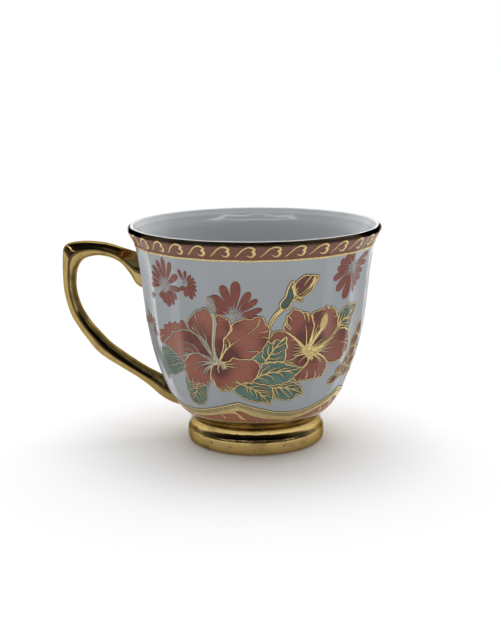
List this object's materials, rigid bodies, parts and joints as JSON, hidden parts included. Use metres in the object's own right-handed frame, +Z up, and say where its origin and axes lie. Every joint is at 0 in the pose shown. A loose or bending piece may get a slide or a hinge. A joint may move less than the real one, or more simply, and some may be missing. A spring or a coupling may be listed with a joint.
{
  "type": "teacup",
  "caption": "Footed, fluted porcelain teacup with a flared gilded lip, an ear-shaped gilded handle, a gilded foot ring and printed flower sprays.",
  "frame": {"origin": "middle of the footprint box of the body and handle, on the plane that the foot ring stands on; the bowl's own axis is vertical at x = +11.25 mm, y = 0", "axes": "+Z up; X along the cup's length, with the handle towards -X; +Y towards the back of the cup"},
  "size_m": [0.1086, 0.086, 0.075],
  "materials": {
    "porcelain": "white, high gloss glaze",
    "foot_gold": "polished: porcelain under a coat of bright fired gold",
    "handle_gold": "polished: porcelain under a coat of bright fired gold",
    "base_gold": "polished: a coat of bright fired gold",
    "lip_gold": "polished: a coat of bright fired gold, thin and a little worn",
    "border_print": "red-brown enamel with raised gold scrolls",
    "flower_print": "red-brown and green enamels with fine gold outlines"
  },
  "bodies": {
    "root": {"bowl": "porcelain", "foot_ring": "foot_gold", "handle": "handle_gold", "lip_gilding": "lip_gold", "base_gilding": "base_gold", "rim_border": "border_print", "lower_border": "border_print", "flower_transfer_front": "flower_print", "flower_transfer_back": "flower_print"}
  },
  "joints": []
}
